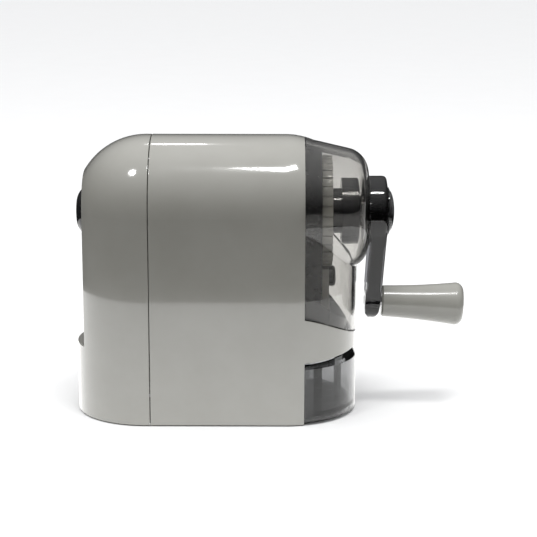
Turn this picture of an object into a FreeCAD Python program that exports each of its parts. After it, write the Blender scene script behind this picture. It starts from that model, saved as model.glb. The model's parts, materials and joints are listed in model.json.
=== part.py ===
"""Desk pencil sharpener, worked by a hand crank.

The grey body is a stadium in plan, with vertical sides, an arched top and domed ends. The pencil goes in at
the -X end, along the shaft axis, into a cutter carrier that the crank at the +X end turns. A single helical
cutter rolls round the point, driven by its pinion in a fixed internal ring gear. Shavings fall through a chute
into a smoked drawer, which slides out at the crank end below a smoked cover.

Frame: millimetres, +X along the shaft from pencil to crank, +Z up. The origin is the centre of the underside.
"""
import FreeCAD, Part
import math
import os

V = FreeCAD.Vector

# driving dimensions
body_half = 30.0                            # half the body's width, and the radius of its ends and its arch
end_centre = 29.0                           # from the origin to the centre of each round end
arch_z = 87.0                               # height of the arch's centre
shaft_z = 85.0                              # height of the shaft and pencil axis
shell_wall = 2.4
cover_wall = 1.8
floor_gap = 0.5                             # the shells stand this far off the surface, on the rubber pad

seam_x = -26.7                              # joint between the front shell and the main shell
seam_gap = 0.3
cover_x = 36.8                              # joint between the main shell and the smoked parts
face_x = -54.9                              # flat face cut in the domed end, round the pencil inlet
ledge_z = 30.2                              # foot of that flat face

u_radius = 44.6                             # the cover's lower edge is an arc, seen from the crank end
u_centre_z = 79.5
drawer_arc_radius = 184.0                   # the drawer's top edge is a flat arc
drawer_top_z = 28.8
edge_gap = 0.3
drawer_gap = 1.2                            # open line between the belt and the drawer
drawer_foot_z = 1.5

drum_z = 86.0                               # axis of the cover's round drum
drum_face_x = 63.5
drum_corner = 10.5                          # radius of its rounded corner
drum_corner_r = 15.06                       # from its axis to the corner's centre
drum_slope = math.radians(13)               # its side narrows towards the crank

trough_radius = 27.0                        # curved floor of the gear chamber
trough_z = 66.4
shelf_radius = 25.8

pencil_radius = 4.3                         # way through for a pencil
inlet_bore = 4.6
cone_half_angle = math.radians(10.5)        # half angle of a sharpened point, and the tilt of the cutter
point_x = 18.0                              # where the pencil's point ends
cutter_radius = 6.0
ring_teeth = 45
pinion_teeth = 14
pinion_tip = 6.2
pinion_root = 4.75

crank_radius = 38.6                         # from the shaft to the grip's pin
grip_root_x = 66.0                          # where that is measured
grip_tilt = 2.2                             # degrees that the grip points down, square to the leaning lever
cap_radius = 9.8
cap_base_x = 71.7
cap_tip_x = 74.45
shaft_radius = 3.0
hub_radius = 14.7
grip_z = shaft_z - crank_radius

drawer_wall = 1.8
tray_half = 25.8
tray_back = -19.0
tray_foot_z = 3.3
tray_floor_z = 5.1
tray_rim_z = 24.0

bulkhead_x = (34.3, 36.7)                   # wall inside the main shell that the mechanism is bolted to
bulkhead_foot_z = 44.0
housing_radius = 21.8                       # drum round the carrier
housing_bore = 20.0
housing_front_x = -24.0
housing_back_x = 34.0
housing_boss_radius = 23.0                  # centres the housing in the bulkhead
nose_bore = 5.34                            # front bearing, which the carrier's nose turns in
plate_front_x = 43.6
plate_foot_z = 52.5
collar_x = (43.7, 48.1)
collar_radius = 23.4
collar_grooves = 36
bearing_back_x = 38.1
bearing_front_x = 59.7
bearing_bore = 4.5
chute_x = (-15.0, 31.0)
chute_half = 20.0
chute_wall = 1.6
chute_foot_z = 29.2
rail_top_z = 10.0
pad_half_length = 40.0
pad_half_width = 18.0
pad_height = 1.5
base_plate_top_z = 3.0

screw_core = 1.25                           # radius of the screws' shanks and of their holes
screw_head = 2.7
pin_x = 33.5                                # cross pin that ties the carrier to the shaft
pin_radius = 1.0
axle_radius = 1.5
grip_pin_radius = 2.0
small_edge = 0.25                           # rounding of the shells' rims
face_edge = 0.5                             # rounding round the inlet's flat face
lever_edge = 0.6                            # rounding of the lever's outer rim
panel_depth = 0.6                           # shallow panel in the lever's face

X_AXIS = V(1, 0, 0)
Y_AXIS = V(0, 1, 0)
Z_AXIS = V(0, 0, 1)


# helpers
def box(x0, x1, y0, y1, z0, z1):
    return Part.makeBox(x1 - x0, y1 - y0, z1 - z0, V(x0, y0, z0))


def rod(radius, x0, x1, y=0.0, z=shaft_z):
    """A cylinder along X."""
    return Part.makeCylinder(radius, x1 - x0, V(x0, y, z), X_AXIS)


def tube(outer, inner, x0, x1, y=0.0, z=shaft_z):
    return rod(outer, x0, x1, y, z).cut(rod(inner, x0 - 1, x1 + 1, y, z))


def post(radius, z0, z1, x, y):
    """A cylinder along Z."""
    return Part.makeCylinder(radius, z1 - z0, V(x, y, z0), Z_AXIS)


def joined(shapes):
    shapes = list(shapes)
    return shapes[0].fuse(shapes[1:]).removeSplitter()


def without(shape, tools):
    return shape.cut(list(tools))


def turned(edges, z=shaft_z):
    """Turns a closed outline of edges, drawn in X and radius, about the line at height z along X."""
    face = Part.Face(Part.Wire(Part.__sortEdges__(edges)))
    solid = face.revolve(V(0, 0, 0), X_AXIS, 360)
    solid.translate(V(0, 0, z))
    return solid


def outline(points):
    """Straight edges through (x, radius) points, not closed."""
    corners = [V(x, 0, r) for x, r in points]
    return [Part.LineSegment(a, b).toShape() for a, b in zip(corners, corners[1:])]


def arc(start, middle, end):
    a, b, c = (V(x, 0, r) for x, r in (start, middle, end))
    return Part.Arc(a, b, c).toShape()


def turned_polygon(points, z=shaft_z):
    return turned(outline(points + points[:1]), z)


def mirrored_y(shapes):
    shapes = list(shapes)
    return shapes + [s.mirror(V(0, 0, 0), Y_AXIS) for s in shapes]


def along(edge):
    """Points inside an edge, away from its ends."""
    first, last = edge.FirstParameter, edge.LastParameter
    return [edge.valueAt(first + (last - first) * share) for share in (0.1, 0.3, 0.5, 0.7, 0.9)]


def rounded(shape, radius, chosen):
    """Rounds each edge whose points all pass the test."""
    return shape.makeFillet(radius, [e for e in shape.Edges if all(chosen(p) for p in along(e))])


def prism(points, axis_vector):
    """A flat polygon of vectors, pushed along axis_vector."""
    return Part.Face(Part.makePolygon(points + points[:1])).extrude(axis_vector)


# the body's own shape
def body_core(inset, base_z=-1.0):
    """The whole body's outer shape, taken in by inset all round."""
    r = body_half - inset
    straight = box(-end_centre, end_centre, -r, r, base_z, arch_z)
    arch = rod(r, -end_centre, end_centre, z=arch_z)
    ends = [post(r, base_z, arch_z, x, 0) for x in (-end_centre, end_centre)]
    domes = [Part.makeSphere(r, V(x, 0, arch_z)) for x in (-end_centre, end_centre)]
    return joined([straight, arch] + ends + domes)


def on_skin(p):
    """Whether a point lies on the body's outer surface."""
    beyond = max(abs(p.x) - end_centre, 0)
    above = max(p.z - arch_z, 0)
    return abs(math.sqrt(beyond ** 2 + p.y ** 2 + above ** 2) - body_half) < 0.01


def on_rim(p, x):
    """Whether a point lies on a shell's open edge at x."""
    return on_skin(p) and abs(p.x - x) < 0.01 and p.z > floor_gap + 0.01


def drum(inset):
    """The round drum that stands out of the crank end: a cone, a rounded corner and a flat face."""
    radius = drum_corner - inset
    nose = drum_face_x - inset
    centre_x = nose - radius

    def on_corner(angle):
        return (centre_x + radius * math.sin(angle), drum_corner_r + radius * math.cos(angle))

    start = on_corner(drum_slope)
    foot_x = 30.0
    foot = (foot_x, start[1] + (start[0] - foot_x) * math.tan(drum_slope))
    corner = arc(start, on_corner(math.radians(52)), on_corner(math.radians(90)))
    straight = outline([start, foot, (foot_x, 0), (nose, 0), (nose, drum_corner_r)])
    return turned(straight + [corner], drum_z)


def above_u_edge(shrink):
    """Everything above the cover's arched lower edge, at the crank end."""
    bowl = rod(u_radius - shrink, cover_x - 1, 90, z=u_centre_z)
    return joined([bowl, box(cover_x - 1, 90, -60, 60, u_centre_z, 130)])


def below_drawer_edge(shrink):
    """Everything below the drawer's flat arched top edge, at the crank end."""
    barrel = rod(drawer_arc_radius - shrink, cover_x, 90, z=drawer_top_z - drawer_arc_radius)
    return barrel.common(box(cover_x, 90, -40, 40, -5, 60))


# shells and covers
def boss_places():
    """Where the front shell is screwed to the main shell: (y, z) of four bosses along the walls."""
    reach = body_half - shell_wall - 3.0
    low = (reach, 12.0)
    high = (reach * math.cos(math.radians(60)), arch_z + reach * math.sin(math.radians(60)))
    return [low, high, (-low[0], low[1]), (-high[0], high[1])]


def base_screw_places():
    """Where the base plate is screwed up into the shells: (x, y)."""
    front = (-end_centre - 17.5, 17.5)
    back = (-22.3, 24.6)
    return [front, back, (front[0], -front[1]), (back[0], -back[1])]


def front_shell():
    front = box(-90, seam_x - seam_gap / 2, -60, 60, floor_gap, 140)
    face_cut = box(-90, face_x, -60, 60, ledge_z, 140)
    outer = body_core(0).common(front).cut(face_cut)
    inner_face = box(-90, face_x + shell_wall, -60, 60, ledge_z - shell_wall, 140)
    cavity = body_core(shell_wall).cut(inner_face)
    shell = outer.cut(cavity)
    shell = shell.cut(rod(7.2, -70, -45))
    bosses = [rod(3.4, -36, seam_x - seam_gap / 2, y, z) for y, z in boss_places()]
    feet = [post(3.4, 3.1, 12, x, y) for x, y in base_screw_places() if x < seam_x]
    shell = joined([shell] + bosses + feet)
    holes = [rod(screw_core, -35, -20, y, z) for y, z in boss_places()]
    foot_holes = [post(screw_core, 0, 10, x, y) for x, y in base_screw_places() if x < seam_x]
    shell = without(shell, holes + foot_holes)
    rim_x = seam_x - seam_gap / 2
    shell = rounded(shell, small_edge, lambda p: on_rim(p, rim_x))
    return rounded(shell, face_edge, lambda p: on_skin(p) and min(abs(p.x - face_x), abs(p.z - ledge_z)) < 0.01)


def main_shell():
    back = box(seam_x + seam_gap / 2, 90, -60, 60, floor_gap, 140)
    shell = body_core(0).common(back).cut(body_core(shell_wall))
    cover_space = above_u_edge(-edge_gap).common(box(cover_x, 90, -60, 60, 0, 140))
    shell = shell.cut(cover_space).cut(below_drawer_edge(0))
    # bulkhead that the mechanism is bolted to
    bulkhead = box(*bulkhead_x, -60, 60, bulkhead_foot_z, 140).common(body_core(shell_wall - 0.4))
    bulkhead = bulkhead.cut(rod(housing_boss_radius + 0.1, 30, 40))
    start = seam_x + seam_gap / 2
    tabs = [rod(3.4, start, start + 3, y, z) for y, z in boss_places()]
    feet = [post(3.2, 3.1, 8.4, x, y) for x, y in base_screw_places() if x > seam_x]
    shell = joined([shell, bulkhead] + tabs + feet)
    holes = [rod(screw_core, -35, -20, y, z) for y, z in boss_places()]
    foot_holes = [post(screw_core, 0, 8, x, y) for x, y in base_screw_places() if x > seam_x]
    shell = without(shell, holes + foot_holes)
    shell = rounded(shell, small_edge, lambda p: on_rim(p, start))
    shell = rounded(shell, small_edge, lambda p: on_skin(p) and p.x > cover_x + 0.2 and 33 < p.z < 60)
    return rounded(shell, small_edge, lambda p: on_skin(p) and p.x > cover_x + 0.2 and 10 < p.z < 31)


def gear_cover():
    outer = joined([body_core(0), drum(0)])
    inner = joined([body_core(cover_wall), drum(cover_wall)])
    room = box(cover_x + 0.1, 90, -60, 60, 0, 140)
    cover = outer.common(room).common(above_u_edge(0)).cut(inner)
    return cover.cut(rod(6.7, 55, 70))


def base_plate():
    inset = shell_wall + 0.1
    plate = body_core(inset).common(box(-90, 90, -60, 60, floor_gap, base_plate_top_z))
    reach, side = pad_half_length + 0.2, pad_half_width + 0.2
    pocket = box(-reach, reach, -side, side, 0, pad_height)
    holes = [post(1.6, 0, 4, x, y) for x, y in base_screw_places()]
    heads = [post(2.8, 0, 1.9, x, y) for x, y in base_screw_places()]
    clear = box(cover_x, 90, -60, 60, 0, 4).cut(body_core(drawer_wall + 0.9))
    return without(plate, [pocket, clear] + holes + heads)


def anti_slip_pad():
    pad = box(-pad_half_length, pad_half_length, -pad_half_width, pad_half_width, 0, pad_height)
    return pad.makeFillet(3, [e for e in pad.Edges if abs(e.tangentAt(e.FirstParameter).z) > 0.9])


def base_screws():
    return Part.makeCompound(
        [post(screw_head, 0.7, 1.9, x, y).fuse(post(screw_core, 1.9, 7.6, x, y))
         for x, y in base_screw_places()]
    )


def shell_screws():
    head = seam_x + seam_gap / 2 + 3
    return Part.makeCompound(
        [rod(screw_head - 0.1, head, head + 2, y, z).fuse(rod(screw_core, -34.5, head, y, z))
         for y, z in boss_places()]
    )


# pencil inlet
def inlet_bezel():
    """Domed ring in the flat face, with a funnel into the bore."""
    dome = arc((face_x, 10.0), (-57.1, 7.8), (-58.1, 5.3))
    rest = outline(
        [(-58.1, 5.3), (-57.2, inlet_bore), (-50.5, inlet_bore), (-50.5, 7.1), (face_x, 7.1), (face_x, 10.0)]
    )
    return turned([dome] + rest)


def guide_tube():
    chamber = 7.0
    return turned_polygon(
        [(-52.3, 10.5), (-50.4, 10.5), (-50.4, 8.6), (-38.5, 8.6), (-37, 6.4), (-24.8, 6.4),
         (-24.8, 4.9), (-38.5, 4.9), (-38.5, chamber), (-50.4, chamber), (-50.4, 7.2), (-52.3, 7.2)]
    )


def pencil_collet():
    """Split spring collet that steadies the pencil: a ring with four sprung fingers."""
    ring = tube(6.9, 5.9, -50.3, -47.3)
    fingers = turned_polygon([(-47.4, 6.9), (-47.4, 5.9), (-41, 4.1), (-39.2, 4.1), (-39.2, 4.8), (-41, 4.9)])
    slots = [
        box(-47, -38, -8, 8, shaft_z - 0.6, shaft_z + 0.6),
        box(-47, -38, -0.6, 0.6, shaft_z - 8, shaft_z + 8)
    ]
    return ring.fuse(without(fingers, slots)).removeSplitter()


# fixed mechanism
def cutter_housing():
    """Drum round the carrier, open below, with the nose bearing in its front wall."""
    barrel = tube(housing_radius, housing_bore, housing_front_x, housing_back_x)
    front = tube(housing_radius, nose_bore, housing_front_x, -20.6)
    boss = tube(housing_boss_radius, 17.5, 29, bulkhead_x[1])
    flange = tube(25.2, 20.5, 31.6, 34.2)
    window = box(-12, 28, -30, 30, shaft_z - 30, shaft_z - 11)
    housing = joined([barrel, front, boss, flange]).cut(window)
    return without(housing, [rod(screw_core, 30.5, 40, y, z) for y, z in frame_screw_places()])


def frame_screw_places():
    """Four screws on a circle, under the collar: (y, z)."""
    around = [math.radians(a) for a in (45, 135, 225, 315)]
    return [(20.1 * math.cos(a), shaft_z + 20.1 * math.sin(a)) for a in around]


def cutter_frame(shape):
    """Puts a shape drawn about the cutter's own axis, with its x along it, into place beside the point."""
    placed = shape.copy()
    placed.rotate(V(0, 0, 0), Y_AXIS, math.degrees(cone_half_angle))
    placed.translate(V(point_x, 0, shaft_z + cutter_radius / math.cos(cone_half_angle)))
    return placed


def offset_at(x):
    """How far the cutter's axis is from the shaft's at x."""
    return (point_x - x) * math.tan(cone_half_angle) + cutter_radius / math.cos(cone_half_angle)


def ring_gear():
    """Internal gear whose teeth lean with the cutter's axis."""
    x0, x1 = -18.6, -13.8
    slant = math.cos(cone_half_angle)
    tip = 5.05 / slant
    bore = [(x0 - 1, 0), (x0 - 1, offset_at(x0 - 1) + tip), (x1 + 1, offset_at(x1 + 1) + tip), (x1 + 1, 0)]
    ring = rod(housing_bore, x0, x1).cut(turned_polygon(bore))
    corners = [V(-39, -1.0, 4.6), V(-39, 1.0, 4.6), V(-39, 0.5, 6.65), V(-39, -0.5, 6.65)]
    space = cutter_frame(prism(corners, V(10, 0, 0)))
    spaces = []
    for k in range(ring_teeth):
        turned_space = space.copy()
        turned_space.rotate(V(0, 0, shaft_z), X_AXIS, 360.0 * k / ring_teeth)
        spaces.append(turned_space)
    return without(ring, spaces)


def frame_plate():
    """Black end plate of the mechanism, seen through the cover."""
    room = box(cover_x, plate_front_x, -60, 60, plate_foot_z, 140)
    inset = shell_wall + 0.2
    plate = joined([body_core(inset), drum(inset)]).common(room).cut(rod(17.0, 30, 50))
    holes = [rod(1.6, 30, 50, y, z) for y, z in frame_screw_places()]
    heads = [rod(2.8, 41.0, 50, y, z) for y, z in frame_screw_places()]
    return without(plate, holes + heads)


def frame_screws():
    return Part.makeCompound(
        [rod(screw_head, 41.0, 43.0, y, z).fuse(rod(screw_core, 31, 41.0, y, z))
         for y, z in frame_screw_places()]
    )


def mounting_collar():
    """Ring that locks the mechanism in, with finger grooves round its rim."""
    collar = rod(collar_radius, *collar_x).fuse(rod(16.9, bearing_back_x, collar_x[0])).cut(rod(8.0, 30, 60))
    groove = prism(
        [V(43, -0.35, collar_radius + 0.2), V(43, 0.35, collar_radius + 0.2), V(43, 0, collar_radius - 0.7)],
        V(6, 0, 0)
    )
    groove.translate(V(0, 0, shaft_z))
    cuts = []
    for k in range(collar_grooves):
        one = groove.copy()
        one.rotate(V(0, 0, shaft_z), X_AXIS, 360.0 * (k + 0.5) / collar_grooves)
        cuts.append(one)
    return without(collar, cuts)


def latch_bracket():
    """Strip below the collar that the latch is fixed to."""
    return box(43.7, 47.2, -7, 7, 40.5, 61.5)


def collar_latch():
    """Button that keeps the collar from turning back."""
    button = rod(4.3, 47.2, 50.1, 0, 57.2)
    nose = [e for e in button.Edges if abs(e.BoundBox.XMin - 50.1) < 0.01 and e.BoundBox.XLength < 0.01]
    return button.makeFillet(1.2, nose)


def bearing_housing():
    back, front = bearing_back_x, bearing_front_x
    return turned_polygon(
        [(back, 8.0), (collar_x[1], 8.0), (collar_x[1], 9.4), (52.1, 9.4), (52.1, 13.85), (front, 13.85),
         (front, 12.2), (54.2, 12.2), (54.2, 6.6), (front, 6.6), (front, bearing_bore), (back, bearing_bore)]
    )


def bearing_bush():
    return tube(bearing_bore, shaft_radius + 0.04, 40, bearing_front_x)


def chamber_floor():
    """Dark trough that closes the gear chamber above the drawer, on a skirt."""
    disc = post(shelf_radius, 31.0, 52.2, end_centre, 0).common(box(cover_x + 0.3, 90, -60, 60, 0, 140))
    above = rod(trough_radius, 30, 90, z=trough_z)
    trough = rod(trough_radius + 1.6, 30, 90, z=trough_z).common(disc)
    skirt = disc.cut(post(shelf_radius - 1.6, 0, 60, end_centre, 0))
    return joined([trough, skirt]).cut(above)


def shavings_chute():
    """Four walls that lead the shavings from the housing's window down to the drawer."""
    x0, x1 = chute_x
    inside = chute_half - chute_wall
    outer = box(x0, x1, -chute_half, chute_half, chute_foot_z, shaft_z)
    inner = box(x0 + chute_wall, x1 - chute_wall, -inside, inside, 20, shaft_z + 1)
    walls = outer.cut(inner).cut(rod(housing_radius, -60, 60)).cut(rod(housing_boss_radius, 28.9, 40))
    feet = mirrored_y([box(x0, x1, chute_half, 27.4, chute_foot_z, chute_foot_z + chute_wall)])
    return joined([walls] + feet)


def drawer_rails():
    rail = box(-18, end_centre, 26.1, 27.4, base_plate_top_z, rail_top_z)
    return Part.makeCompound(mirrored_y([rail]))


# drawer
def shavings_drawer():
    """Smoked tray whose round front is the foot of the crank end."""
    front_room = box(cover_x + 0.15, 90, -60, 60, drawer_foot_z, 60)
    bevel = Part.makeCone(body_half, body_half - 3.2, 7.2, V(end_centre, 0, tray_rim_z), Z_AXIS)
    below_bevel = joined([post(body_half, -1, tray_rim_z, end_centre, 0), bevel])
    top = below_drawer_edge(drawer_gap).common(below_bevel)
    skin = body_core(0).cut(body_core(drawer_wall)).common(front_room).common(top)
    inner_half = tray_half - drawer_wall
    tray = box(tray_back, 70, -tray_half, tray_half, tray_foot_z, tray_rim_z)
    tray = tray.common(body_core(0.4, tray_foot_z))
    hollow = box(tray_back + drawer_wall, 70, -inner_half, inner_half, tray_floor_z, 60)
    hollow = hollow.common(body_core(drawer_wall))
    return joined([skin, tray.cut(hollow)])


def drawer_latch():
    """Two-legged tongue behind the drawer's front, which clicks under the belt of the shell."""
    x0, x1, half = 50.2, 52.6, 4.6
    legs = mirrored_y([box(x0, x1, half - drawer_wall, half, tray_floor_z, 26.2)])
    bridge = box(x0, x1, -half, half, 18.5, 18.5 + drawer_wall)
    return joined(legs + [bridge])


# crank
def lever_outline(hub, end, x):
    """A lever's outline at x: two circles, (centre z, radius) each, and their outer tangent lines."""
    (z0, r0), (z1, r1) = hub, end
    lean = math.asin((r0 - r1) / (z0 - z1))
    side = (math.cos(lean), math.sin(lean))
    hub_side = V(x, r0 * side[0], z0 + r0 * side[1])
    end_side = V(x, r1 * side[0], z1 + r1 * side[1])
    hub_other = V(x, -hub_side.y, hub_side.z)
    end_other = V(x, -end_side.y, end_side.z)
    edges = [
        Part.Arc(hub_other, V(x, 0, z0 + r0), hub_side).toShape(),
        Part.LineSegment(hub_side, end_side).toShape(),
        Part.Arc(end_side, V(x, 0, z1 - r1), end_other).toShape(),
        Part.LineSegment(end_other, hub_other).toShape(),
    ]
    return Part.Face(Part.Wire(edges))


def crank_arm():
    """Hub and lever in one piece. The lever leans in towards the body and is hollow at the back."""
    hub_rim = outline([(61.0, shaft_radius), (61.0, 6.0), (64.0, 6.0), (64.0, hub_radius), (69.4, hub_radius)])
    hub_corner = arc((69.4, hub_radius), (70.7, 14.0), (71.1, 12.8))
    hub_face = outline(
        [(71.1, 12.8), (71.6, 10.0), (71.6, 6.0), (69.0, 6.0), (69.0, shaft_radius), (61.0, shaft_radius)]
    )
    hub = turned(hub_rim + [hub_corner] + hub_face)
    side = [
        V(65.5, -30, shaft_z), V(64.2, -30, 73.5), V(62.4, -30, 47.0), V(62.4, -30, 42.5), V(64.2, -30, 39.2),
        V(66.2, -30, 39.2), V(68.3, -30, 42.4), V(69.2, -30, 48.0), V(71.0, -30, 77.2), V(71.0, -30, shaft_z)
    ]
    lever = lever_plan(0).common(prism(side, V(0, 60, 0)))
    # the outer rim runs down both sides and round the foot, and not straight across the front
    rim = [e for e in lever.Edges if all(p.x > 65.9 and p.z < shaft_z - 0.1 for p in along(e))
           and abs(e.Vertexes[0].Z - e.Vertexes[-1].Z) > 0.01]
    lever = lever.makeFillet(lever_edge, rim)
    pocket_side = [V(60, -30, 72.4), V(60, -30, 30), V(62.9, -30, 30), V(62.9, -30, 46), V(65.2, -30, 72.4)]
    pocket = lever_plan(2.0).common(prism(pocket_side, V(0, 60, 0))).cut(grip_rod(4.2, 55, 75))
    panel_side = [
        V(69.3 - panel_depth, -30, 50), V(90, -30, 50), V(90, -30, 71), V(70.6 - panel_depth, -30, 71)
    ]
    panel = lever_plan(2.6).common(prism(panel_side, V(0, 60, 0)))
    arm = joined([lever.cut(pocket).cut(panel).cut(rod(7.0, 60, 80)), hub])
    spot_face = grip_rod(7.2, 69.2, 80)
    return without(arm, [rod(shaft_radius, 60, 69), grip_rod(grip_pin_radius, 55, 75), spot_face])


def lever_plan(inset):
    """The lever's outline seen along the shaft, as a long bar."""
    hub = (shaft_z, hub_radius - 0.6 - inset)
    end = (grip_z, 7.1 - inset)
    return lever_outline(hub, end, 60).extrude(V(20, 0, 0))


def crank_cap():
    """Shallow spherical cap with a plug behind it."""
    rise = cap_tip_x - cap_base_x
    ball_radius = (cap_radius ** 2 + rise ** 2) / (2 * rise)
    ball = Part.makeSphere(ball_radius, V(cap_tip_x - ball_radius, 0, shaft_z), X_AXIS)
    cap = ball.common(rod(cap_radius + 1, cap_base_x, cap_tip_x + 1))
    return joined([cap, rod(5.9, 70.9, cap_base_x)])


def crank_screw():
    slot = box(70.1, 71, -4, 4, shaft_z - 0.5, shaft_z + 0.5)
    return rod(3.4, 69.0, 70.7).fuse(rod(1.5, 60.5, 69.0)).cut(slot)


def drive_shaft():
    shaft = rod(shaft_radius, 30.0, 68.9)
    return without(shaft, [rod(1.5, 60.5, 70), cross_pin(20.0)])


def cross_pin(length):
    """The pin's own shape, and the hole for it, across the shaft."""
    return Part.makeCylinder(pin_radius, length, V(pin_x, -length / 2, shaft_z), Y_AXIS)


def retaining_clip():
    clip = tube(5.2, shaft_radius, 59.9, 60.7)
    return clip.cut(box(59, 62, -1.6, 1.6, shaft_z, shaft_z + 8))


def thrust_washer():
    return tube(6.0, shaft_radius, 37.05, 37.95)


def cutter_carrier():
    """Open cradle that holds the cutter beside the point, with a nose that the pencil passes through."""
    nose = rod(5.3, -24.4, -12.6)
    front = rod(16.5, -12.6, -9.6)
    back = rod(13.0, 23.5, 28.5)
    boss = rod(6.5, 28.5, 37.0)
    cradle = tube(13.0, 9.8, -9.6, 23.5).common(box(-20, 30, -20, 20, shaft_z - 20, shaft_z - 4.2))
    carrier = joined([nose, front, back, boss, cradle])
    axle_hole = cutter_frame(rod(axle_radius + 0.05, 4, 14, 0, 0))
    neck_hole = cutter_frame(rod(3.08, -40, -20, 0, 0)).common(box(-12.7, -9.5, -20, 20, 0, 140))
    way = rod(pencil_radius, -30, -9)
    return without(carrier, [axle_hole, neck_hole, way, rod(shaft_radius, 30, 40), cross_pin(20.0)])


def carrier_pin():
    return cross_pin(12.6)


def cutter_axle():
    return cutter_frame(rod(axle_radius, -37.1, 9.5, 0, 0).fuse(rod(2.4, -37.9, -37.1, 0, 0)))


def helical_cutter():
    """Cutter with helical teeth, and the neck that carries its pinion."""
    flutes = 12
    x0, x1 = -26.6, 3.4
    steps = 4
    twist = math.radians(48)
    wires = []
    for s in range(steps + 1):
        share = s / steps
        corners = []
        for k in range(flutes):
            angle = 2 * math.pi * k / flutes + twist * share
            for r, lag in ((cutter_radius - 0.05, 0.0), (cutter_radius - 0.95, 0.42)):
                a = angle + lag * 2 * math.pi / flutes
                corners.append(V(x0 + (x1 - x0) * share, r * math.sin(a), r * math.cos(a)))
        wires.append(Part.makePolygon(corners + corners[:1]))
    fluted = Part.makeLoft(wires, True, True)
    neck = rod(3.0, -32.4, x0, 0, 0)
    return cutter_frame(fluted.fuse(neck).cut(rod(axle_radius + 0.06, -45, 15, 0, 0)))


def cutter_pinion():
    corners = []
    pitch = 2 * math.pi / pinion_teeth
    for k in range(pinion_teeth):
        for r, half in ((pinion_root, -0.75), (pinion_tip, -0.28), (pinion_tip, 0.28), (pinion_root, 0.75)):
            a = k * pitch + half / r
            corners.append(V(-36.9, r * math.sin(a), r * math.cos(a)))
    gear = prism(corners, V(4.4, 0, 0))
    return cutter_frame(gear.cut(rod(axle_radius + 0.06, -45, 15, 0, 0)))


def grip_frame(shape):
    """Tilts a shape drawn along X at grip_z to the grip's own axis."""
    placed = shape.copy()
    placed.rotate(V(grip_root_x, 0, grip_z), Y_AXIS, grip_tilt)
    return placed


def grip_rod(radius, x0, x1):
    return grip_frame(rod(radius, x0, x1, 0, grip_z))


def crank_grip():
    """Flared turning grip."""
    flare = arc((70.3, 6.6), (85.0, 7.35), (100.0, 8.9))
    end = arc((100.0, 8.9), (103.0, 8.1), (104.0, 6.0))
    bore = grip_pin_radius + 0.06
    rest = outline(
        [(104.0, 6.0), (104.0, 4.2), (98.3, 4.2), (98.3, bore), (69.6, bore), (69.6, 5.9), (70.3, 6.6)]
    )
    return grip_frame(turned([flare, end] + rest, grip_z))


def grip_pin():
    """Pin through the lever, with a screw-slotted head inside the grip's end."""
    pin = rod(grip_pin_radius, 64.9, 98.5, 0, grip_z).fuse(rod(3.7, 98.5, 100.6, 0, grip_z))
    return grip_frame(pin.cut(box(100, 101, -4, 4, grip_z - 0.5, grip_z + 0.5)))


PARTS = [
    front_shell, main_shell, gear_cover, base_plate, anti_slip_pad, base_screws, shell_screws,
    inlet_bezel, guide_tube, pencil_collet,
    cutter_housing, ring_gear, frame_plate, frame_screws, mounting_collar, latch_bracket, collar_latch,
    bearing_housing, bearing_bush, chamber_floor, shavings_chute, drawer_rails,
    shavings_drawer, drawer_latch,
    crank_arm, crank_cap, crank_screw, drive_shaft, retaining_clip, thrust_washer, cutter_carrier,
    carrier_pin, cutter_axle, helical_cutter, cutter_pinion, crank_grip, grip_pin,
]


def main():
    os.makedirs("parts", exist_ok=True)
    for make in PARTS:
        shape = make()
        shape.exportStep(os.path.join("parts", make.__name__ + ".step"))
        print(f"{make.__name__:18s} solids {len(shape.Solids)} faces {len(shape.Faces)} "
              f"valid {shape.isValid()} volume {shape.Volume:.1f}")


main()
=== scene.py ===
import bpy, bmesh, json, math
from mathutils import Matrix, Vector


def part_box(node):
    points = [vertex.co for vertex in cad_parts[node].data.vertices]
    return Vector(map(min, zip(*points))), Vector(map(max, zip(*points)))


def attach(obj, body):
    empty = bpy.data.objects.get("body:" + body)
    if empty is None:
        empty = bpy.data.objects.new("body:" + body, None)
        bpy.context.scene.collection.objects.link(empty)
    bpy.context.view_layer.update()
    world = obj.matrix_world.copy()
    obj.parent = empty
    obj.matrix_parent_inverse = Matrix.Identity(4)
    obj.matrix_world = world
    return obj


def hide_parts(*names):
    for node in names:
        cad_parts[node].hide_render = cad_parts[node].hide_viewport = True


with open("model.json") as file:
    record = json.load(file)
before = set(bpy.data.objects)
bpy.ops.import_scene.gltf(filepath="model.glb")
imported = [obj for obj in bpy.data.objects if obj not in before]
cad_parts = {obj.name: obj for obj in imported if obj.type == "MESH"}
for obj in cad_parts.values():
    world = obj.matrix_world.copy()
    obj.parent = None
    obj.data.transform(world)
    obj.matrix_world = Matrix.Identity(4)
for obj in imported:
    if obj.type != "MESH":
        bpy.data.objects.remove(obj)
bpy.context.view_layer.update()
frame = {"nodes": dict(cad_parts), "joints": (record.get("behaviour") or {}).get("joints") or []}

scene = bpy.context.scene
nodes = frame["nodes"]
mm = 0.001
print("frame loaded:", len(nodes), "nodes")

# the cutter's place, taken from the frame
joints = {j["name"]: j for j in frame["joints"]}
cutterPivot = Vector(joints["cutter_spin"]["pos_m"])
cutterAxis = Vector(joints["cutter_spin"]["axis"])


# camera
cameraSpec = {
    "place": (0.024269, -0.699407, 0.219674),
    "pitch": 12.851,            # degrees looking down
    "yaw": -0.193,
    "roll": 0.087,
    "lens": 113.97,
    "sensor": 36.0,
    "near": 0.02,
    "far": 30.0,
}


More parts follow.
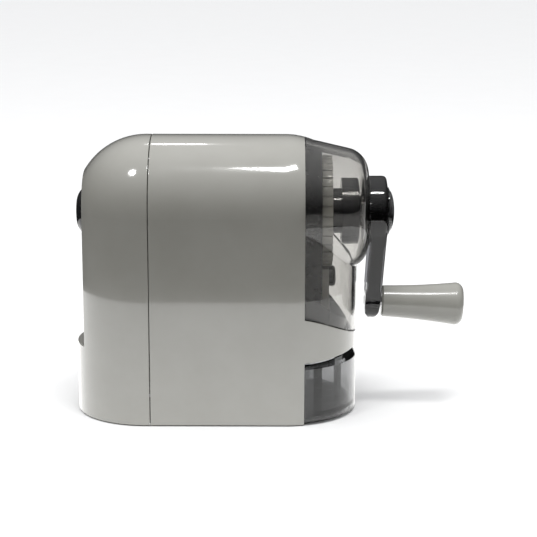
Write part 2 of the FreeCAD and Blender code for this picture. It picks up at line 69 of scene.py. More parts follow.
def makeCamera(spec):
    data = bpy.data.cameras.new("camera")
    data.lens = spec["lens"]
    data.sensor_width = spec["sensor"]
    data.clip_start = spec["near"]
    data.clip_end = spec["far"]
    cam = bpy.data.objects.new("camera", data)
    scene.collection.objects.link(cam)
    pitch, yaw, roll = (math.radians(spec[k]) for k in ("pitch", "yaw", "roll"))
    forward = Vector((
        math.sin(yaw) * math.cos(pitch), math.cos(yaw) * math.cos(pitch), -math.sin(pitch)))
    right = Vector((math.cos(yaw), -math.sin(yaw), 0.0))
    up = right.cross(forward)
    x = right * math.cos(roll) + up * math.sin(roll)
    y = up * math.cos(roll) - right * math.sin(roll)
    turn = Matrix((x, y, -forward)).transposed().to_4x4()
    cam.matrix_world = Matrix.Translation(spec["place"]) @ turn
    scene.camera = cam


makeCamera(cameraSpec)
scene.view_settings.view_transform = "Standard"
scene.view_settings.look = "None"
print("camera placed")


# studio: floor, world and lamps
studioSpec = {
    "floorRadius": 7.0,
    "floorTone": (0.86, 0.86, 0.86),
    "skyTone": (0.985, 0.99, 1.0),
    "skyTop": 2.0,              # radiance overhead
    "skyRise": 1.75,            # how steeply it brightens from the horizon up
    "skyGloss": 0.55,           # share of it that reflections see
    "skyHorizon": 0.05,         # radiance level with the object
    "surround": 0.88,           # what the camera sees past the floor
    "paleReach": 0.208,         # the pale card runs this far past the body, and beyond it is dark
    "paleGlow": 1.65,
    "darkGlow": 0.03,
    "flagReach": 0.105,         # from here forward, a dark flag keeps the floor's light off the object
    "bodyHalfWidth": 0.03,
    "bodyEndRadius": 0.0276,    # of the body's rounded ends, which the pale card follows
    "sheetGap": 0.0002,         # between the sheets that make up the floor
}

lampAim = (0.0, 0.0, 0.08)      # where every lamp points
lampSpec = {
    # name: (place, width, height, power, shape)
    "barFront": ((0.175, -0.36, 1.22), 0.37, 0.15, 5.0, "RECTANGLE"),
    "barBack": ((-0.08, 0.68, 1.05), 0.06, 0.05, 0.15, "RECTANGLE"),
    "round": ((-0.41, -0.49, 1.16), 0.22, 0.22, 2.6, "ELLIPSE"),
}


def meshObject(name, verts, faces, material=None):
    mesh = bpy.data.meshes.new(name)
    mesh.from_pydata([tuple(v) for v in verts], [], faces)
    mesh.update()
    obj = bpy.data.objects.new(name, mesh)
    scene.collection.objects.link(obj)
    if material:
        mesh.materials.append(material)
    return obj


def roundSheet(name, centres, radius, z, material, steps=96):
    # a flat sheet with round ends about two centres on the X axis, or a disc where they are the same
    verts = []
    for i in range(steps):
        a = 2 * math.pi * i / steps
        centre = centres[1] if math.cos(a) > 0 else centres[0]
        verts.append((centre + radius * math.cos(a), radius * math.sin(a), z))
    return meshObject(name, verts, [tuple(range(steps))], material)


def makeLamp(name, place, width, height, power, shape):
    data = bpy.data.lights.new(name, "AREA")
    data.shape = shape
    data.size = width
    data.size_y = height
    data.energy = power
    lamp = bpy.data.objects.new(name, data)
    scene.collection.objects.link(lamp)
    lamp.location = place
    lamp.rotation_euler = (Vector(lampAim) - Vector(place)).to_track_quat("-Z", "Y").to_euler()


def seenBy(sheet, camera=False, diffuse=False, glossy=False):
    # which rays meet a sheet of the studio: none of the sheets casts a shadow
    sheet.visible_camera = camera
    sheet.visible_transmission = camera
    sheet.visible_diffuse = diffuse
    sheet.visible_glossy = glossy
    sheet.visible_shadow = False


def makeWorld(spec):
    # a sky that brightens from the horizon up, dimmer in reflections, and plain to the camera
    world = bpy.data.worlds.new("studio")
    world.use_nodes = True
    scene.world = world
    tree = world.node_tree
    coord = tree.nodes.new("ShaderNodeTexCoord")
    split = tree.nodes.new("ShaderNodeSeparateXYZ")
    rise = tree.nodes.new("ShaderNodeMath")
    rise.operation = "POWER"
    rise.inputs[1].default_value = spec["skyRise"]
    rise.use_clamp = True
    level = tree.nodes.new("ShaderNodeMapRange")
    level.inputs["To Min"].default_value = spec["skyHorizon"]
    level.inputs["To Max"].default_value = spec["skyTop"]
    path = tree.nodes.new("ShaderNodeLightPath")
    dim = tree.nodes.new("ShaderNodeMapRange")
    dim.inputs["To Min"].default_value = 1.0
    dim.inputs["To Max"].default_value = spec["skyGloss"]
    dimmed = tree.nodes.new("ShaderNodeMath")
    dimmed.operation = "MULTIPLY"
    pick = tree.nodes.new("ShaderNodeMix")
    pick.inputs["B"].default_value = spec["surround"]
    up = tree.nodes.new("ShaderNodeMath")
    up.operation = "MAXIMUM"
    up.inputs[1].default_value = 0.0
    background = tree.nodes["Background"]
    background.inputs["Color"].default_value = (*spec["skyTone"], 1)
    link = tree.links.new
    link(coord.outputs["Generated"], split.inputs[0])
    link(split.outputs["Z"], up.inputs[0])
    link(up.outputs[0], rise.inputs[0])
    link(rise.outputs[0], level.inputs["Value"])
    link(path.outputs["Is Camera Ray"], pick.inputs["Factor"])
    link(path.outputs["Is Glossy Ray"], dim.inputs["Value"])
    link(level.outputs["Result"], dimmed.inputs[0])
    link(dim.outputs["Result"], dimmed.inputs[1])
    link(dimmed.outputs[0], pick.inputs["A"])
    link(pick.outputs["Result"], background.inputs["Strength"])


# node helpers
def newMaterial(name):
    mat = bpy.data.materials.new(name)
    mat.use_nodes = True
    tree = mat.node_tree
    shader = tree.nodes["Principled BSDF"]
    return mat, tree, shader


def objectPattern(tree, scale=(1, 1, 1)):
    coord = tree.nodes.new("ShaderNodeTexCoord")
    mapping = tree.nodes.new("ShaderNodeMapping")
    mapping.inputs["Scale"].default_value = scale
    tree.links.new(coord.outputs["Object"], mapping.inputs["Vector"])
    return mapping.outputs["Vector"]


def noise(tree, vector, scale, detail=3.0, rough=0.5):
    node = tree.nodes.new("ShaderNodeTexNoise")
    node.inputs["Scale"].default_value = scale
    node.inputs["Detail"].default_value = detail
    node.inputs["Roughness"].default_value = rough
    tree.links.new(vector, node.inputs["Vector"])
    return node.outputs["Fac"]


def spread(tree, value, low, high, start=0.3, end=0.7):
    node = tree.nodes.new("ShaderNodeMapRange")
    for key, number in (("From Min", start), ("From Max", end), ("To Min", low), ("To Max", high)):
        node.inputs[key].default_value = number
    tree.links.new(value, node.inputs["Value"])
    return node.outputs["Result"]


def twoTone(tree, value, dark, light, start=0.35, end=0.65):
    ramp = tree.nodes.new("ShaderNodeValToRGB")
    ramp.color_ramp.elements[0].position = start
    ramp.color_ramp.elements[0].color = (*dark, 1)
    ramp.color_ramp.elements[1].position = end
    ramp.color_ramp.elements[1].color = (*light, 1)
    tree.links.new(value, ramp.inputs["Fac"])
    return ramp.outputs["Color"]


def bump(tree, height, distance):
    node = tree.nodes.new("ShaderNodeBump")
    node.inputs["Strength"].default_value = 1.0
    node.inputs["Distance"].default_value = distance
    tree.links.new(height, node.inputs["Height"])
    return node.outputs["Normal"]


# finishes
mouldedSpec = {
    # dark and light tone of the pigment, its clouds per metre, roughness range, grain per metre,
    # depth of the grain
    "greyPlastic": ((0.300, 0.295, 0.266), (0.320, 0.315, 0.286), 45, (0.10, 0.15), 900, 0.000003),
    "gripPlastic": ((0.290, 0.286, 0.258), (0.310, 0.306, 0.278), 60, (0.20, 0.26), 900, 0.000002),
    "paleGreyPlastic": ((0.40, 0.393, 0.36), (0.45, 0.443, 0.41), 80, (0.12, 0.2), 1400, 0.000002),
    "blackPlastic": ((0.012, 0.012, 0.013), (0.018, 0.018, 0.019), 80, (0.20, 0.30), 1600, 0.000001),
    "glossBlack": ((0.008, 0.008, 0.009), (0.012, 0.012, 0.013), 80, (0.05, 0.09), 900, 0.000002),
    "darkPlastic": ((0.016, 0.016, 0.018), (0.024, 0.024, 0.026), 80, (0.12, 0.2), 1200, 0.000001),
    "rubber": ((0.020, 0.020, 0.020), (0.034, 0.033, 0.032), 250, (0.62, 0.8), 3000, 0.00003),
}

mouldedIor = 1.53
lacquered = {"greyPlastic": 1.0, "gripPlastic": 0.2}     # weight of the clear coat
lacquerIor = 1.6
lacquerRough = 0.04
smearShare = 2.2                # smears are this much finer than the clouds


def mouldedPlastic(name, dark, light, cloud, rough, grain, depth):
    mat, tree, shader = newMaterial(name)
    vector = objectPattern(tree)
    clouds = noise(tree, vector, cloud, detail=4.0, rough=0.55)
    fine = noise(tree, vector, grain, detail=2.0, rough=0.6)
    smear = noise(tree, vector, cloud * smearShare, detail=5.0, rough=0.7)
    tree.links.new(twoTone(tree, clouds, dark, light), shader.inputs["Base Color"])
    tree.links.new(spread(tree, smear, rough[0], rough[1]), shader.inputs["Roughness"])
    tree.links.new(bump(tree, fine, depth), shader.inputs["Normal"])
    shader.inputs["IOR"].default_value = mouldedIor
    if name in lacquered:
        shader.inputs["Coat Weight"].default_value = lacquered[name]
        shader.inputs["Coat IOR"].default_value = lacquerIor
        shader.inputs["Coat Roughness"].default_value = lacquerRough
    return mat


smokedSpec = {
    # tint of a wall, colour left after absorption, density per metre, roughness range,
    # scuffs per metre, depth of the ripple
    "smokedClear": ((0.80, 0.79, 0.765), (0.10, 0.095, 0.075), 60.0, (0.0, 0.01), 260, 0.000006),
    "smokedDrawer": ((0.66, 0.665, 0.67), (0.09, 0.09, 0.085), 130.0, (0.0, 0.04), 260, 0.000010),
    "smokedDark": ((0.50, 0.50, 0.52), (0.05, 0.05, 0.055), 400.0, (0.01, 0.04), 320, 0.000004),
    "smokedCap": ((0.55, 0.55, 0.56), (0.06, 0.06, 0.06), 120.0, (0.01, 0.05), 320, 0.000008),
}
smokedIor = 1.50
rippleScale = 60                # ripples per metre in the moulded wall


def smokedPlastic(name, wall, tint, density, rough, scuff, depth):
    mat, tree, shader = newMaterial(name)
    vector = objectPattern(tree)
    shader.inputs["Base Color"].default_value = (*wall, 1)
    shader.inputs["Transmission Weight"].default_value = 1.0
    shader.inputs["IOR"].default_value = smokedIor
    haze = noise(tree, vector, scuff, detail=5.0, rough=0.65)
    ripple = noise(tree, vector, rippleScale, detail=1.0, rough=0.4)
    scuffed = spread(tree, haze, rough[0], rough[1], start=0.5, end=0.8)
    tree.links.new(scuffed, shader.inputs["Roughness"])
    tree.links.new(bump(tree, ripple, depth), shader.inputs["Normal"])
    absorb = tree.nodes.new("ShaderNodeVolumeAbsorption")
    absorb.inputs["Color"].default_value = (*tint, 1)
    absorb.inputs["Density"].default_value = density
    tree.links.new(absorb.outputs["Volume"], tree.nodes["Material Output"].inputs["Volume"])
    return mat


metalSpec = {
    # dark and light tone, roughness range, stretch of the brushing along X, grain per metre, depth
    "steel": ((0.46, 0.46, 0.47), (0.60, 0.60, 0.61), (0.18, 0.34), 0.12, 2600, 0.000006),
    "toolSteel": ((0.20, 0.20, 0.21), (0.32, 0.32, 0.33), (0.22, 0.40), 0.2, 2000, 0.000008),
    "castZinc": ((0.34, 0.34, 0.35), (0.46, 0.46, 0.47), (0.38, 0.55), 1.0, 1500, 0.00003),
    "bronze": ((0.42, 0.25, 0.12), (0.56, 0.35, 0.18), (0.30, 0.45), 1.0, 2400, 0.00001),
}
stainScale = 120                # stains per metre


def metal(name, dark, light, rough, stretch, grain, depth):
    mat, tree, shader = newMaterial(name)
    brushed = objectPattern(tree, (stretch, 1, 1))
    plain = objectPattern(tree)
    lines = noise(tree, brushed, grain, detail=3.0, rough=0.7)
    stains = noise(tree, plain, stainScale, detail=4.0, rough=0.6)
    shader.inputs["Metallic"].default_value = 1.0
    tree.links.new(twoTone(tree, stains, dark, light), shader.inputs["Base Color"])
    tree.links.new(spread(tree, lines, rough[0], rough[1]), shader.inputs["Roughness"])
    tree.links.new(bump(tree, lines, depth), shader.inputs["Normal"])
    return mat


paperSpec = {
    "fibres": 30,               # per metre
    "shade": 0.99,              # of the darker fibres
    "rough": 0.85,
    "specular": 0.2,
}


def floorPaper(name, tone, spec):
    mat, tree, shader = newMaterial(name)
    vector = objectPattern(tree)
    fibres = noise(tree, vector, spec["fibres"], detail=4.0, rough=0.6)
    dark = tuple(c * spec["shade"] for c in tone)
    tree.links.new(twoTone(tree, fibres, dark, tone), shader.inputs["Base Color"])
    shader.inputs["Roughness"].default_value = spec["rough"]
    shader.inputs["Specular IOR Level"].default_value = spec["specular"]
    return mat


def glow(name, tone, strength):
    mat, tree, shader = newMaterial(name)
    tree.nodes.remove(shader)
    lamp = tree.nodes.new("ShaderNodeEmission")
    lamp.inputs["Color"].default_value = (*tone, 1)
    lamp.inputs["Strength"].default_value = strength
    tree.links.new(lamp.outputs["Emission"], tree.nodes["Material Output"].inputs["Surface"])
    return mat


finish = {name: mouldedPlastic(name, *spec) for name, spec in mouldedSpec.items()}
finish.update({name: smokedPlastic(name, *spec) for name, spec in smokedSpec.items()})
finish.update({name: metal(name, *spec) for name, spec in metalSpec.items()})
print("finishes made:", len(finish))


# stage
def makeStage(spec):
    makeWorld(spec)
    paper = floorPaper("floorPaper", spec["floorTone"], paperSpec)
    pale = glow("paleCard", (1.0, 1.0, 0.99), spec["paleGlow"])
    dark = glow("darkCard", (1.0, 1.0, 1.0), spec["darkGlow"])
    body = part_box("base_plate")
    ends = (body[0].x + spec["bodyEndRadius"], body[1].x - spec["bodyEndRadius"])
    reach = spec["paleReach"] + spec["bodyHalfWidth"]
    half, gap = spec["floorRadius"], spec["sheetGap"]
    floor = roundSheet("floor", (0.0, 0.0), half, 0.0, paper)
    farCard = roundSheet("cardFar", (0.0, 0.0), half, 2 * gap, dark)
    nearCard = roundSheet("cardNear", ends, reach, 3 * gap, pale)
    # the light that comes back up from the floor has sheets of its own, just below it
    bounce = roundSheet("cardBounce", (0.0, 0.0), half, -2 * gap, paper)
    near = -spec["flagReach"]
    corners = [(-half, -half, -gap), (half, -half, -gap), (half, near, -gap), (-half, near, -gap)]
    flag = meshObject("cardFlag", corners, [(0, 1, 2, 3)], dark)
    seenBy(floor, camera=True)
    seenBy(farCard, glossy=True)
    seenBy(nearCard, glossy=True)
    seenBy(bounce, diffuse=True)
    seenBy(flag, diffuse=True)


makeStage(studioSpec)
for lampName, lampValues in lampSpec.items():
    makeLamp(lampName, *lampValues)
print("stage set")


# finish of each node
nodeFinish = {
    "greyPlastic": ["front_shell", "main_shell"],
    "gripPlastic": ["crank_grip"],
    "paleGreyPlastic": ["mounting_collar", "latch_bracket"],
    "smokedClear": ["gear_cover"],
    "smokedDrawer": ["shavings_drawer"],
    "smokedDark": ["crank_arm"],
    "smokedCap": ["crank_cap"],
    "darkPlastic": ["collar_latch", "bearing_housing", "chamber_floor", "drawer_latch"],
    "blackPlastic": ["frame_plate", "base_plate", "guide_tube", "cutter_housing", "shavings_chute",
                     "drawer_rails"],
    "glossBlack": ["inlet_bezel"],
    "rubber": ["anti_slip_pad"],
    "steel": ["base_screws", "shell_screws", "frame_screws", "crank_screw", "drive_shaft", "retaining_clip",
              "thrust_washer", "carrier_pin", "cutter_axle", "grip_pin", "pencil_collet"],
    "castZinc": ["cutter_carrier", "ring_gear"],
    "toolSteel": ["helical_cutter", "cutter_pinion"],
    "bronze": ["bearing_bush"],
}


def dress(obj, material):
    obj.data.materials.clear()
    obj.data.materials.append(material)


for finishName, members in nodeFinish.items():
    for member in members:
        dress(nodes[member], finish[finishName])
print("nodes dressed")


# shaping helpers
def boxOf(node):
    low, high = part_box(node)
    return low, high, (low + high) / 2


def islandBoxes(node):
    # lowest and highest corner of each separate piece in a node, in order along X, Y and Z
    work = bmesh.new()
    work.from_mesh(nodes[node].data)
    bmesh.ops.remove_doubles(work, verts=work.verts, dist=0.01 * mm)
    left, found = set(work.verts), []
    while left:
        queue = [left.pop()]
        places = [queue[0].co.copy()]
        while queue:
            for edge in queue.pop().link_edges:
                for vert in edge.verts:
                    if vert in left:
                        left.remove(vert)
                        queue.append(vert)
                        places.append(vert.co.copy())
        corner = [Vector([pick(p[k] for p in places) for k in range(3)]) for pick in (min, max)]
        found.append(corner)
    work.free()
    return sorted(found, key=lambda pair: [round(c, 5) for c in pair[0]])


def finishMesh(mesh, limit=32):
    # closes seams and poles, turns the faces outwards and keeps edges sharper than the limit
    work = bmesh.new()
    work.from_mesh(mesh)
    bmesh.ops.remove_doubles(work, verts=work.verts, dist=0.002 * mm)
    bmesh.ops.recalc_face_normals(work, faces=work.faces)
    for face in work.faces:
        face.smooth = True
    for edge in work.edges:
        edge.smooth = len(edge.link_faces) == 2 and edge.calc_face_angle(0) < math.radians(limit)
    work.to_mesh(mesh)
    work.free()
    return mesh


def turnedObject(name, profile, axisZ, steps=128):
    # a closed outline of (x, radius) points, turned about the line along X at axisZ
    verts, faces, count = [], [], len(profile)
    for i in range(steps):
        a = 2 * math.pi * i / steps
        verts += [(x, r * math.sin(a), axisZ + r * math.cos(a)) for x, r in profile]
        here, after = i * count, (i + 1) % steps * count
        for j in range(count):
            k = (j + 1) % count
            faces.append((here + j, here + k, after + k, after + j))
    obj = meshObject(name, verts, faces)
    finishMesh(obj.data)
    return obj


def bevelledBlock(name, low, high, edge):
    # a block between two corners with its edges rounded
    work = bmesh.new()
    bmesh.ops.create_cube(work, size=1.0)
    size, middle = Vector(high) - Vector(low), (Vector(high) + Vector(low)) / 2
    for vert in work.verts:
        vert.co = Vector(v * s for v, s in zip(vert.co, size)) + middle
    bmesh.ops.bevel(work, geom=list(work.edges), offset=edge, segments=2, affect="EDGES", profile=0.5)
    obj = meshObject(name, [], [])
    work.to_mesh(obj.data)
    work.free()
    return obj


# Geometry Nodes helpers
def newTree(name, sockets):
    tree = bpy.data.node_groups.new(name, "GeometryNodeTree")
    tree.interface.new_socket("Geometry", in_out="OUTPUT", socket_type="NodeSocketGeometry")
    keys = {}
    for label, kind in sockets:
        socket = tree.interface.new_socket(label, in_out="INPUT", socket_type="NodeSocket" + kind)
        keys[label] = socket.identifier
    return tree, tree.nodes.new("NodeGroupInput"), keys


def addNode(tree, kind, inputs=None, **settings):
    # a node whose inputs take numbers or other nodes' outputs
    node = tree.nodes.new(kind)
    for key, value in settings.items():
        setattr(node, key, value)
    for key, value in (inputs or {}).items():
        if isinstance(value, bpy.types.NodeSocket):
            tree.links.new(value, node.inputs[key])
        else:
            node.inputs[key].default_value = value
    return node


def calc(tree, operation, first, second):
    return addNode(tree, "ShaderNodeMath", {0: first, 1: second}, operation=operation).outputs[0]


def closeTree(tree, given, pieces):
    # joins the pieces, makes instances real and sets the material
    join = tree.nodes.new("GeometryNodeJoinGeometry")
    for piece in pieces:
        tree.links.new(piece, join.inputs[0])
    real = addNode(tree, "GeometryNodeRealizeInstances", {0: join.outputs[0]})
    painted = addNode(tree, "GeometryNodeSetMaterial",
                      {"Geometry": real.outputs[0], "Material": given.outputs["Material"]})
    end = tree.nodes.new("NodeGroupOutput")
    tree.links.new(painted.outputs[0], end.inputs[0])


def bakeTree(name, tree, keys, values, points=()):
    # runs a tree and keeps the result as a plain mesh
    holder = meshObject(name + "Maker", points, [])
    modifier = holder.modifiers.new("shape", "NODES")
    modifier.node_group = tree
    for label, value in values.items():
        modifier[keys[label]] = value
    graph = bpy.context.evaluated_depsgraph_get()
    mesh = bpy.data.meshes.new_from_object(holder.evaluated_get(graph))
    holder.modifiers.clear()
    bpy.data.objects.remove(holder)
    mesh.name = name
    obj = bpy.data.objects.new(name, mesh)
    scene.collection.objects.link(obj)
    finishMesh(mesh)
    return obj


def place(obj, body, slotName, replaced):
    # hands a finished piece over to its body
    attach(obj, body)
    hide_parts(replaced)
    print(obj.name, "made:", len(obj.data.polygons), "faces")


# collar with finger blocks round its rim
collarSpec = {
    "blocks": 36,
    "gap": 0.0006,              # between blocks
    "depth": 0.0009,            # of the gaps
    "edge": 0.00022,
    "blockRoot": 0.0004,        # of a block, sunk into the body
    "blockShy": 0.00012,        # of a block's top, inside the rim of the node's box
    "bore": 0.008,
    "sleeve": 0.0169,
    "sleeveLength": 0.0056,     # the sleeve runs on this far behind the rim
    "faceStep": 0.0006,         # the face is sunk inside its rim
    "faceRim": 0.0205,
    "hubRim": 0.0112,
    "chamfer": 0.0003,
}


def ringTree():
    tree, given, keys = newTree("ringOfBlocks", [
        ("Count", "Int"), ("Axis Height", "Float"), ("Block", "Object"), ("Body", "Object"),
        ("Material", "Material")])
    out = given.outputs
    centre = addNode(tree, "ShaderNodeCombineXYZ", {"Z": out["Axis Height"]})
    points = addNode(tree, "GeometryNodePoints", {"Count": out["Count"], "Position": centre.outputs[0]})
    index = tree.nodes.new("GeometryNodeInputIndex")
    step = calc(tree, "DIVIDE", 2 * math.pi, out["Count"])
    angle = calc(tree, "MULTIPLY", index.outputs[0], step)
    turn = addNode(tree, "ShaderNodeCombineXYZ", {"X": angle})
    turned = addNode(tree, "FunctionNodeEulerToRotation", {0: turn.outputs[0]})
    block = addNode(tree, "GeometryNodeObjectInfo", {"Object": out["Block"]})
    ring = addNode(tree, "GeometryNodeInstanceOnPoints", {
        "Points": points.outputs[0], "Instance": block.outputs["Geometry"], "Rotation": turned.outputs[0]})
    body = addNode(tree, "GeometryNodeObjectInfo", {"Object": out["Body"]})
    closeTree(tree, given, [ring.outputs[0], body.outputs["Geometry"]])
    return tree, keys


def makeCollar(spec):
    low, high, middle = boxOf("mounting_collar")
    rim = (high.z - low.z) / 2
    back, front = low.x + spec["sleeveLength"], high.x
    root, sunk = rim - spec["depth"], front - spec["faceStep"]
    sleeve, faceRim, hubRim, chamfer = (spec[k] for k in ("sleeve", "faceRim", "hubRim", "chamfer"))
    body = turnedObject("collarBody", [
        (low.x, spec["bore"]), (low.x, sleeve), (back, sleeve), (back, root), (front - chamfer, root),
        (front - chamfer, faceRim + 2 * chamfer), (front, faceRim + chamfer), (front, faceRim - chamfer),
        (sunk, faceRim - 3 * chamfer), (sunk, hubRim), (front, hubRim - 2 * chamfer),
        (front, spec["bore"])], middle.z)
    half = math.pi * rim / spec["blocks"] - spec["gap"] / 2
    block = bevelledBlock(
        "collarBlock", (back, -half, root - spec["blockRoot"]), (front, half, rim - spec["blockShy"]),
        spec["edge"])
    tree, keys = ringTree()
    collar = bakeTree("mountingCollar", tree, keys, {
        "Count": spec["blocks"], "Axis Height": middle.z, "Block": block, "Body": body,
        "Material": finish["paleGreyPlastic"]})
    for spare in (body, block):
        bpy.data.objects.remove(spare)
    place(collar, "housing", "light_grey_plastic", "mounting_collar")


makeCollar(collarSpec)


# pan-head screws with a cross recess
screwSpec = {
    # node: (body, head height, shank radius, recess width, recess reach, side that the head faces)
    "frame_screws": ("housing", 0.0020, 0.00125, 0.00062, 0.0015, "+X"),
    "shell_screws": ("housing", 0.0020, 0.00125, 0.00062, 0.0015, "+X"),
    "base_screws": ("housing", 0.0012, 0.00125, 0.00062, 0.0015, "-Z"),
    "crank_screw": ("crank", 0.0017, 0.0015, 0.0008, 0.0021, "+X"),
}
crownShare = 0.35               # of the head's height, above its straight side
crownTop = 0.8                  # of the head's radius
recessShare = 1.1               # of the head's height, centred on its top, so half of it cuts in


def screwTree():
    tree, given, keys = newTree("screwsOnPoints", [
        ("Points", "Geometry"), ("Turn", "Rotation"), ("Head Radius", "Float"), ("Head Height", "Float"),
        ("Shank Radius", "Float"), ("Length", "Float"), ("Recess Width", "Float"),
        ("Recess Reach", "Float"), ("Material", "Material")])
    out = given.outputs
    crown = calc(tree, "MULTIPLY", out["Head Height"], crownShare)
    side = calc(tree, "SUBTRACT", out["Head Height"], crown)
    top = calc(tree, "MULTIPLY", out["Head Radius"], crownTop)
    depth = calc(tree, "MULTIPLY", out["Head Height"], recessShare)

    def moved(geometry, z):
        lift = addNode(tree, "ShaderNodeCombineXYZ", {"Z": z})
        return addNode(tree, "GeometryNodeTransform",
                       {"Geometry": geometry, "Translation": lift.outputs[0]}).outputs[0]

    def down(length):
        return calc(tree, "MULTIPLY", length, -1.0)

    head = addNode(tree, "GeometryNodeMeshCylinder", {
        "Vertices": 40, "Radius": out["Head Radius"], "Depth": side})
    headPlace = calc(tree, "ADD", down(crown), calc(tree, "MULTIPLY", side, -0.5))
    dome = addNode(tree, "GeometryNodeMeshCone", {
        "Vertices": 40, "Radius Top": top, "Radius Bottom": out["Head Radius"], "Depth": crown})
    shank = addNode(tree, "GeometryNodeMeshCylinder", {
        "Vertices": 24, "Radius": out["Shank Radius"], "Depth": out["Length"]})
    shankPlace = calc(tree, "MULTIPLY", out["Length"], -0.5)
    whole = addNode(tree, "GeometryNodeMeshBoolean", {}, operation="UNION", solver="EXACT")
    for solid, z in ((head.outputs[0], headPlace), (dome.outputs[0], down(crown)),
                     (shank.outputs[0], calc(tree, "SUBTRACT", shankPlace, crown))):
        tree.links.new(moved(solid, z), whole.inputs["Mesh"])
    cut = addNode(tree, "GeometryNodeMeshBoolean", {"Mesh 1": whole.outputs[0]},
                  operation="DIFFERENCE", solver="EXACT")
    width, reach = out["Recess Width"], out["Recess Reach"]
    for wide, deep in ((reach, width), (width, reach)):
        size = addNode(tree, "ShaderNodeCombineXYZ", {
            "X": calc(tree, "MULTIPLY", wide, 2.0), "Y": calc(tree, "MULTIPLY", deep, 2.0), "Z": depth})
        bar = addNode(tree, "GeometryNodeMeshCube", {"Size": size.outputs[0]})
        tree.links.new(bar.outputs[0], cut.inputs["Mesh 2"])
    copies = addNode(tree, "GeometryNodeInstanceOnPoints", {
        "Points": out["Points"], "Instance": cut.outputs[0], "Rotation": out["Turn"]})
    closeTree(tree, given, [copies.outputs[0]])
    return tree, keys


def makeScrews(spec):
    tree, keys = screwTree()
    for node, (body, headHeight, shank, width, reach, side) in spec.items():
        islands = islandBoxes(node)
        low, high = islands[0]
        middles = [(a + b) / 2 for a, b in islands]
        if side == "+X":
            tops = [(b.x, m.y, m.z) for (a, b), m in zip(islands, middles)]
            turn, length = (0.0, math.pi / 2, 0.0), high.x - low.x
        else:
            tops = [(m.x, m.y, a.z) for (a, b), m in zip(islands, middles)]
            turn, length = (math.pi, 0.0, 0.0), high.z - low.z
        screws = bakeTree(node + "Detailed", tree, keys, {
            "Turn": turn, "Head Radius": (high.y - low.y) / 2, "Head Height": headHeight,
            "Shank Radius": shank, "Length": length - headHeight * crownShare, "Recess Width": width / 2,
            "Recess Reach": reach, "Material": finish["steel"]}, tops)
        place(screws, body, "steel", node)


makeScrews(screwSpec)


# cutter with helical flutes
cutterSpec = {
    "flutes": 12,
    "radius": 0.00595,
    "root": 0.00505,
    "lean": -12.6,              # degrees that each root lags its edge
    "from": -0.0266,            # along the cutter's axis, from its pivot
    "to": 0.0034,
    "twist": -48.0,             # degrees over its length
    "steps": 60,
    "neck": 0.0030,
    "neckEnd": -0.0324,
}


def cutterTree():
    tree, given, keys = newTree("flutedBar", [
        ("Flutes", "Int"), ("Radius", "Float"), ("Root", "Float"), ("Lean", "Float"),
        ("Start", "Vector"), ("End", "Vector"), ("Twist", "Float"), ("Steps", "Int"),
        ("Neck Radius", "Float"), ("Neck End", "Vector"), ("Material", "Material")])
    out = given.outputs
    line = addNode(tree, "GeometryNodeCurvePrimitiveLine", {"Start": out["Start"], "End": out["End"]})
    fine = addNode(tree, "GeometryNodeResampleCurve", {"Curve": line.outputs[0], "Count": out["Steps"]})
    along = tree.nodes.new("GeometryNodeSplineParameter")
    tilt = calc(tree, "MULTIPLY", along.outputs["Factor"], out["Twist"])
    tilted = addNode(tree, "GeometryNodeSetCurveTilt", {"Curve": fine.outputs[0], "Tilt": tilt})
    star = addNode(tree, "GeometryNodeCurveStar", {
        "Points": out["Flutes"], "Outer Radius": out["Radius"], "Inner Radius": out["Root"],
        "Twist": out["Lean"]})
    bar = addNode(tree, "GeometryNodeCurveToMesh", {
        "Curve": tilted.outputs[0], "Profile Curve": star.outputs[0], "Fill Caps": True})
    neckLine = addNode(tree, "GeometryNodeCurvePrimitiveLine", {
        "Start": out["Neck End"], "End": out["Start"]})
    circle = addNode(tree, "GeometryNodeCurvePrimitiveCircle", {
        "Resolution": 48, "Radius": out["Neck Radius"]})
    neck = addNode(tree, "GeometryNodeCurveToMesh", {
        "Curve": neckLine.outputs[0], "Profile Curve": circle.outputs[0], "Fill Caps": True})
    closeTree(tree, given, [bar.outputs[0], neck.outputs[0]])
    return tree, keys


def makeCutter(spec):
    tree, keys = cutterTree()
    cutter = bakeTree("helicalCutter", tree, keys, {
        "Flutes": spec["flutes"], "Radius": spec["radius"], "Root": spec["root"],
        "Lean": math.radians(spec["lean"]),
        "Start": cutterPivot + cutterAxis * spec["from"], "End": cutterPivot + cutterAxis * spec["to"],
        "Twist": math.radians(spec["twist"]), "Steps": spec["steps"], "Neck Radius": spec["neck"],
        "Neck End": cutterPivot + cutterAxis * spec["neckEnd"], "Material": finish["toolSteel"]})
    place(cutter, "cutter", "tool_steel", "helical_cutter")


makeCutter(cutterSpec)


# rubber pad with ribs across its underside
padSpec = {
    "ribs": 24,
    "ribWidth": 0.0017,
    "ribDepth": 0.0006,
    "margin": 0.0022,           # plain border round the ribs
    "corner": 0.003,
    "ribEdge": 0.0003,
}


def ribTree():
    tree, given, keys = newTree("rowOfRibs", [
        ("Count", "Int"), ("Start", "Vector"), ("Step", "Vector"), ("Rib", "Object"), ("Body", "Object"),
        ("Material", "Material")])
    out = given.outputs
    row = addNode(tree, "GeometryNodeMeshLine", {
        "Count": out["Count"], "Start Location": out["Start"], "Offset": out["Step"]})
    rib = addNode(tree, "GeometryNodeObjectInfo", {"Object": out["Rib"]})
    ribs = addNode(tree, "GeometryNodeInstanceOnPoints", {
        "Points": row.outputs[0], "Instance": rib.outputs["Geometry"]})
    body = addNode(tree, "GeometryNodeObjectInfo", {"Object": out["Body"]})
    closeTree(tree, given, [ribs.outputs[0], body.outputs["Geometry"]])
    return tree, keys


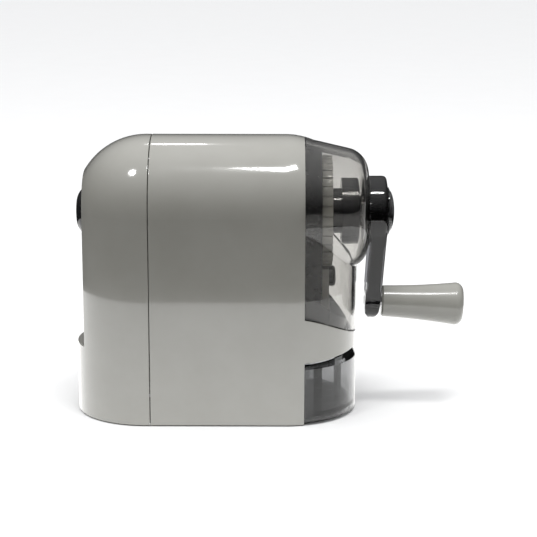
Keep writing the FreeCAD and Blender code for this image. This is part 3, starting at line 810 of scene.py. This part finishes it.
def roundedSlab(name, low, high, corner, steps=10):
    # a slab with rounded upright corners
    outline = []
    corners = ((high.x, high.y), (low.x, high.y), (low.x, low.y), (high.x, low.y))
    for k, (x, y) in enumerate(corners):
        centre = Vector((x - math.copysign(corner, x), y - math.copysign(corner, y)))
        for i in range(steps + 1):
            a = math.radians(90 * (k + i / steps))
            outline.append((centre.x + corner * math.cos(a), centre.y + corner * math.sin(a)))
    count = len(outline)
    verts = [(x, y, z) for z in (low.z, high.z) for x, y in outline]
    faces = [tuple(range(count - 1, -1, -1)), tuple(range(count, 2 * count))]
    faces += [(i, (i + 1) % count, count + (i + 1) % count, count + i) for i in range(count)]
    return meshObject(name, verts, faces)


def makePad(spec):
    low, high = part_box("anti_slip_pad")
    depth, margin, halfRib = spec["ribDepth"], spec["margin"], spec["ribWidth"] / 2
    slab = roundedSlab("padSlab", Vector((low.x, low.y, low.z + depth)), high, spec["corner"])
    reach = high.y - margin
    rib = bevelledBlock(
        "padRib", (-halfRib, -reach, low.z), (halfRib, reach, low.z + 2 * depth), spec["ribEdge"])
    span = high.x - low.x - 2 * margin - spec["ribWidth"]
    tree, keys = ribTree()
    pad = bakeTree("antiSlipPad", tree, keys, {
        "Count": spec["ribs"], "Start": (-span / 2, 0.0, 0.0),
        "Step": (span / (spec["ribs"] - 1), 0.0, 0.0),
        "Rib": rib, "Body": slab, "Material": finish["rubber"]})
    for spare in (slab, rib):
        bpy.data.objects.remove(spare)
    place(pad, "housing", "rubber", "anti_slip_pad")


makePad(padSpec)


# cap on the crank's hub, with a stepped rim
capSpec = {
    "plug": 0.0059,
    "plugLength": 0.0008,       # the plug stands behind the cap
    "rim": 0.0098,
    "backEdge": 0.0001,
    "frontEdge": 0.0002,
    "flange": 0.0005,           # thickness of the flat rim
    "domeRadius": 0.0088,
    "steps": 14,
}


def makeCap(spec):
    low, high, middle = boxOf("crank_cap")
    base = low.x + spec["plugLength"]
    flange = base + spec["flange"]
    rim, dome, backEdge, edge = (spec[k] for k in ("rim", "domeRadius", "backEdge", "frontEdge"))
    profile = [
        (low.x, 0.0), (low.x, spec["plug"]), (base, spec["plug"]), (base, rim - backEdge),
        (base + backEdge, rim), (flange - edge, rim), (flange, rim - edge), (flange, dome + edge),
        (flange - edge, dome)]
    for i in range(1, spec["steps"] + 1):
        a = math.pi / 2 * i / spec["steps"]
        rise = (high.x - flange + edge) * math.sin(a)
        profile.append((flange - edge + rise, dome * math.cos(a)))
    cap = turnedObject("crankCap", profile, middle.z)
    dress(cap, finish["smokedCap"])
    place(cap, "crank", "dark_smoked_plastic", "crank_cap")


makeCap(capSpec)
print("detailed pieces made")
